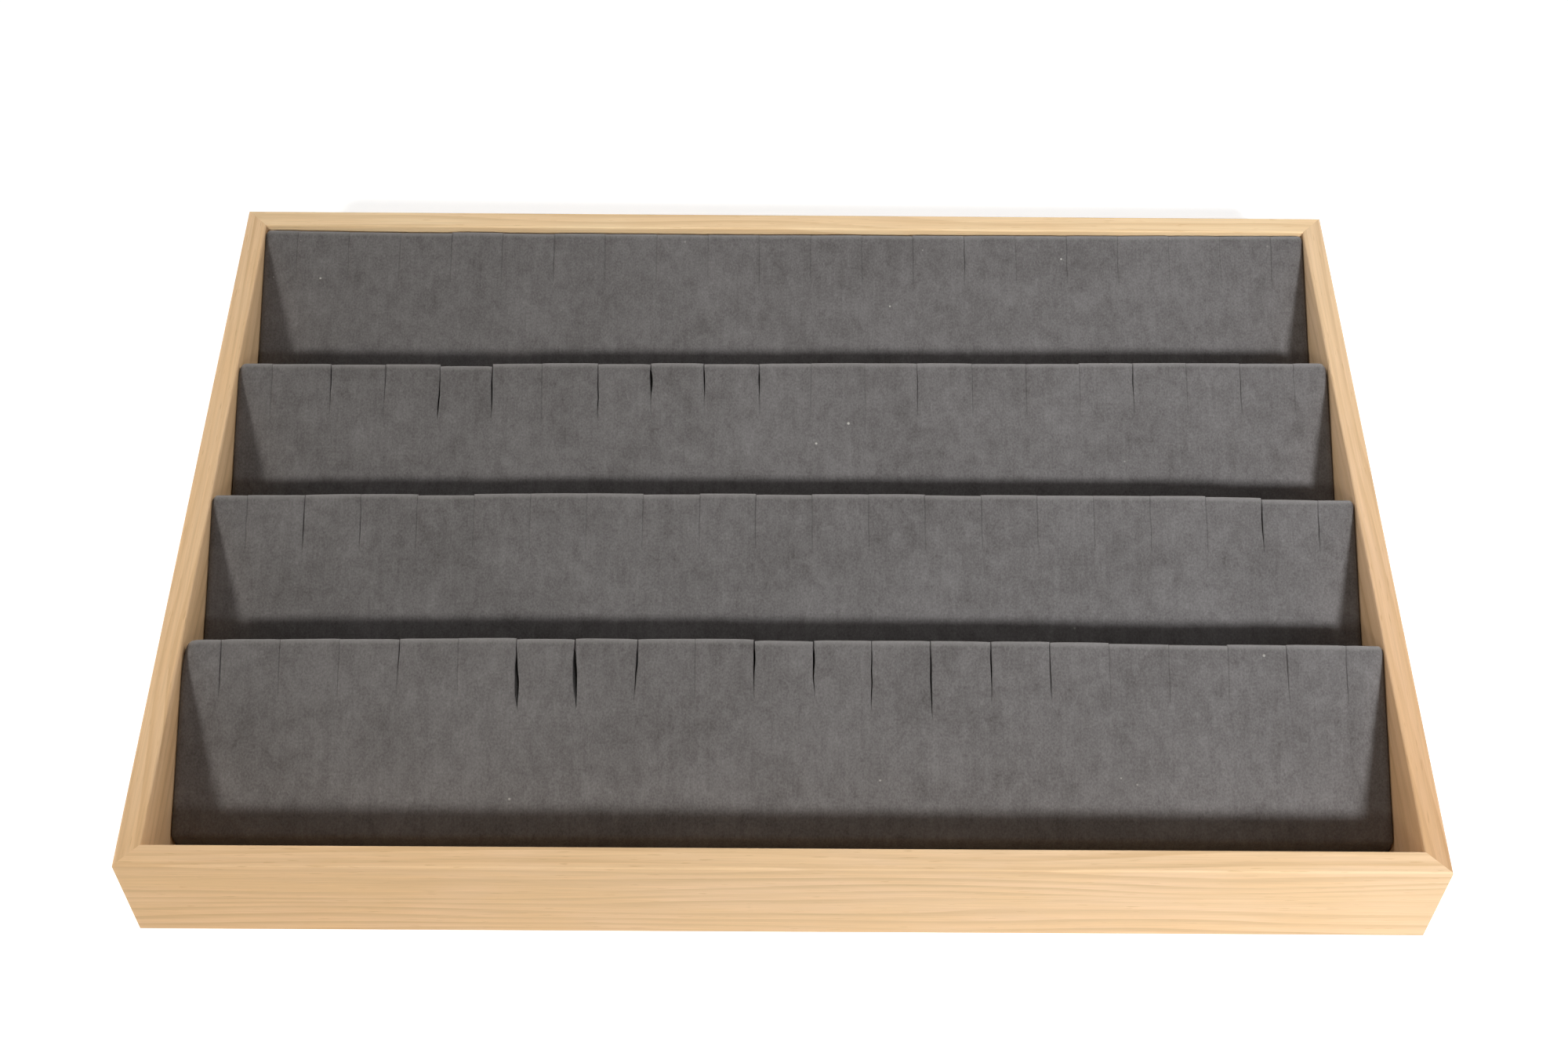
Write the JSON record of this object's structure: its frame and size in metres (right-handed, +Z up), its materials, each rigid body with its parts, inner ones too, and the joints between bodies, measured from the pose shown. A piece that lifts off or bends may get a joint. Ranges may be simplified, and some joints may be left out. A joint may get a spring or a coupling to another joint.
{
  "type": "earring display tray",
  "caption": "Shallow open wooden tray with rows of loose sloped suede ramps, slit along their ridges to hold earrings on show.",
  "frame": {"origin": "middle of the underside of the tray, on the surface that it stands on", "axes": "+X along the rows of ramps, the tray's longest side; +Y from the low toe of the ramps to the back rail; +Z up"},
  "size_m": [0.35, 0.242, 0.035],
  "materials": {
    "pine": "satin",
    "base_board": "matte",
    "nail_steel": "satin",
    "suede": "matte",
    "foam": "matte",
    "card": "matte"
  },
  "bodies": {
    "tray": {"front_rail": "pine", "back_rail": "pine", "left_rail": "pine", "right_rail": "pine", "corner_nails": "nail_steel", "base_panel": "base_board", "floor_lining": "suede"},
    "front_ramp": {"front_ramp_core": "foam", "front_ramp_card": "card", "front_ramp_cover": "suede"},
    "second_ramp": {"second_ramp_core": "foam", "second_ramp_card": "card", "second_ramp_cover": "suede"},
    "third_ramp": {"third_ramp_core": "foam", "third_ramp_card": "card", "third_ramp_cover": "suede"},
    "back_ramp": {"back_ramp_core": "foam", "back_ramp_card": "card", "back_ramp_cover": "suede"}
  },
  "joints": [
    {"name": "front_ramp_lift", "type": "slide", "parent": "tray", "child": "front_ramp", "axis": [0, 0, 1], "range_m": [0, 0.036]},
    {"name": "second_ramp_lift", "type": "slide", "parent": "tray", "child": "second_ramp", "axis": [0, 0, 1], "range_m": [0, 0.036]},
    {"name": "third_ramp_lift", "type": "slide", "parent": "tray", "child": "third_ramp", "axis": [0, 0, 1], "range_m": [0, 0.036]},
    {"name": "back_ramp_lift", "type": "slide", "parent": "tray", "child": "back_ramp", "axis": [0, 0, 1], "range_m": [0, 0.036]}
  ]
}
